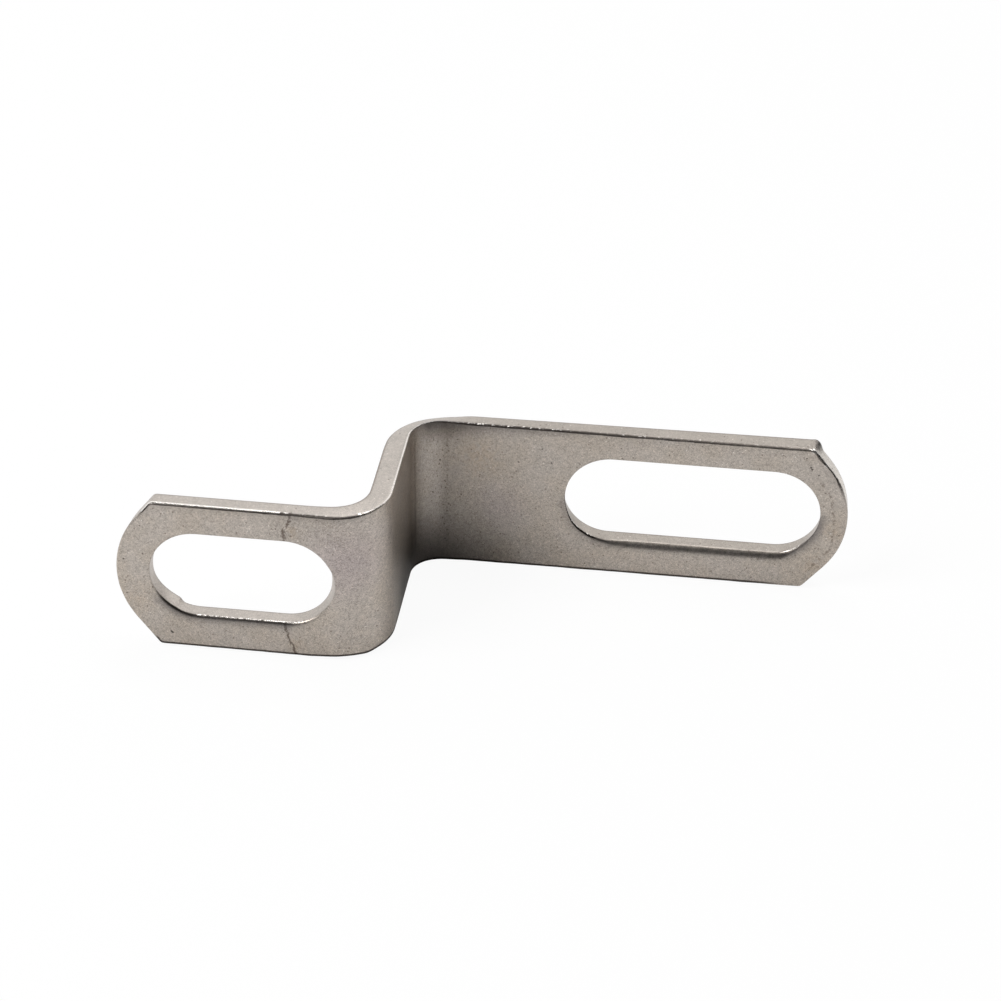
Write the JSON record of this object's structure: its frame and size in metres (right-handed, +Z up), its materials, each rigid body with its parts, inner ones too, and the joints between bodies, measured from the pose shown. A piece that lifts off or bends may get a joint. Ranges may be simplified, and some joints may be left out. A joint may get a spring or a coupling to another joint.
{
  "type": "exhaust bracket",
  "caption": "Sheet-metal strap folded into an offset bracket, with a long bolt slot in each arm and rounded ends.",
  "frame": {"origin": "middle of the bounding box at its foot, on the plane that the strap's long edge stands on", "axes": "+X along the arms from the short arm to the long one, +Y from the short arm's front face to the long arm's back, +Z up across the strap's width"},
  "size_m": [0.0814, 0.024, 0.019],
  "materials": {
    "strap_steel": "matte, fine-grained stainless sheet as blanked and folded, with burnished edges, die marks and light stains"
  },
  "bodies": {
    "root": {"bracket_strap": "strap_steel"}
  },
  "joints": []
}
